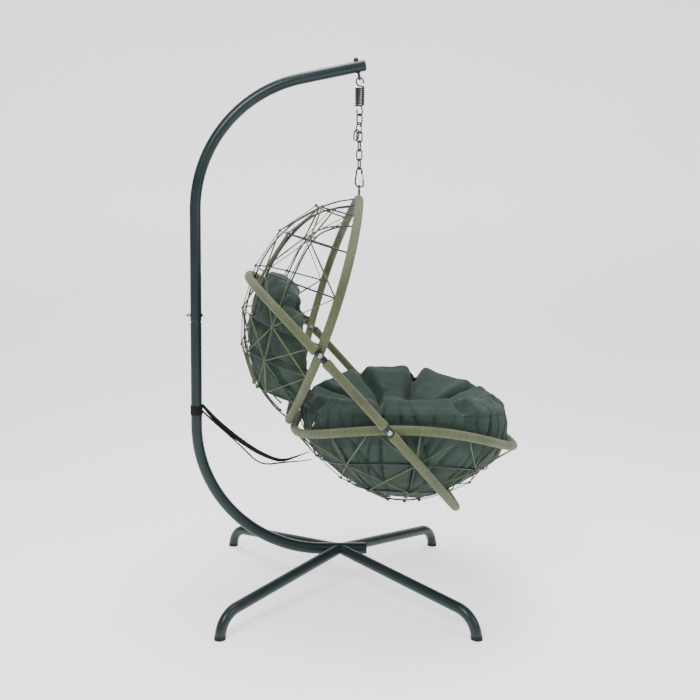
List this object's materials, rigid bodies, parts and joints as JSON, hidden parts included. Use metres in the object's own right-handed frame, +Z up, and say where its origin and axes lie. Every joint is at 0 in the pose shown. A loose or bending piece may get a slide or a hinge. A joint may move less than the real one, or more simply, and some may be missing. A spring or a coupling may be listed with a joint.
{
  "type": "hanging egg chair",
  "caption": "Hanging egg chair on a C-shaped tube stand with four legs: a corded wire basket with a wrapped hood ring, seat ring and brace, hung from a spring and chain, with padded cushions.",
  "frame": {"origin": "floor level, under the middle of the whole object", "axes": "+X the way the sitter faces, +Y the sitter's left, +Z up"},
  "size_m": [1.2255, 0.974, 1.983],
  "materials": {
    "coated_steel": "semi-gloss",
    "dark_hardware": "satin",
    "bright_hardware": "satin",
    "ring_wrap": "matte",
    "lashing_cord": "matte",
    "cushion_fabric": "matte",
    "black_rubber": "matte",
    "black_plastic": "matte",
    "black_webbing": "matte"
  },
  "bodies": {
    "stand": {"lower_pole": "coated_steel", "upper_pole": "coated_steel", "leg_socket_cross": "coated_steel", "leg_front_left": "coated_steel", "leg_front_right": "coated_steel", "leg_rear_left": "coated_steel", "leg_rear_right": "coated_steel", "leg_screws": "bright_hardware", "rubber_foot_front_left": "black_rubber", "rubber_foot_front_right": "black_rubber", "rubber_foot_rear_left": "black_rubber", "rubber_foot_rear_right": "black_rubber", "hub_end_cap": "black_plastic", "pole_tip_cap": "coated_steel", "pole_joint_bolt": "dark_hardware", "pole_joint_nut": "bright_hardware", "eye_bolt": "dark_hardware", "eye_bolt_nut": "dark_hardware", "strap_collar": "black_webbing", "tether_strap_1": "black_webbing", "tether_strap_2": "black_webbing", "tether_strap_3": "black_webbing", "tether_strap_4": "black_webbing"},
    "spring_hanger": {"spring": "dark_hardware"},
    "chain_top": {"chain_link_top": "dark_hardware", "height_hook": "dark_hardware", "height_hook_pin": "dark_hardware", "spare_link": "dark_hardware", "chain_link_hook": "dark_hardware"},
    "height_gate": {"height_hook_gate": "dark_hardware"},
    "chain_low": {"chain_link_upper": "dark_hardware", "chain_link_middle": "dark_hardware", "chain_link_lower": "dark_hardware", "carabiner": "dark_hardware", "carabiner_pin": "dark_hardware"},
    "snap_gate": {"carabiner_gate": "dark_hardware"},
    "chair": {"hanging_eye": "coated_steel", "hood_ring_tube": "coated_steel", "hood_ring_wrap": "ring_wrap", "seat_ring_tube": "coated_steel", "seat_ring_wrap": "ring_wrap", "brace_tube": "coated_steel", "brace_wrap": "ring_wrap", "brace_bolts": "bright_hardware", "brace_nuts": "bright_hardware", "rear_joint_bolt": "bright_hardware", "rear_joint_nut": "bright_hardware", "back_hoops": "coated_steel", "back_ribs": "coated_steel", "back_lashing": "lashing_cord", "seat_hoops": "coated_steel", "seat_ribs": "coated_steel", "seat_lashing": "lashing_cord", "back_cushion": "cushion_fabric", "seat_cushion": "cushion_fabric", "zip_pull": "bright_hardware"}
  },
  "joints": [
    {"name": "swing_fore_aft", "type": "hinge", "parent": "stand", "child": "spring_hanger", "pos_m": [0.0281, 0, 1.9014], "axis": [0, -1, 0], "range_deg": [-6, 12], "deforming": ["tether_strap_1"]},
    {"name": "spring_stretch", "type": "slide", "parent": "spring_hanger", "child": "chain_top", "axis": [0, 0, -1], "range_m": [0, 0.03], "deforming": ["spring", "tether_strap_2"]},
    {"name": "height_hook_gate_swing", "type": "hinge", "parent": "chain_top", "child": "height_gate", "pos_m": [0.0339, 0.0027, 1.7329], "axis": [-0.4226, 0.9063, 0], "range_deg": [0, 25], "stiffness_Nm_per_rad": 0.02, "springref_deg": -11.46},
    {"name": "swing_side", "type": "hinge", "parent": "chain_top", "child": "chain_low", "pos_m": [0.0281, 0, 1.6754], "axis": [1, 0, 0], "range_deg": [-8, 8], "deforming": ["tether_strap_3"]},
    {"name": "carabiner_gate_swing", "type": "hinge", "parent": "chain_low", "child": "snap_gate", "pos_m": [0.038, 0, 1.5623], "axis": [0, 1, 0], "range_deg": [0, 28], "stiffness_Nm_per_rad": 0.03, "springref_deg": -11.46},
    {"name": "chair_swivel", "type": "hinge", "parent": "chain_low", "child": "chair", "pos_m": [0.0281, 0, 1.51], "axis": [0, 0, 1], "range_deg": [-25, 25], "deforming": ["tether_strap_4"]}
  ]
}
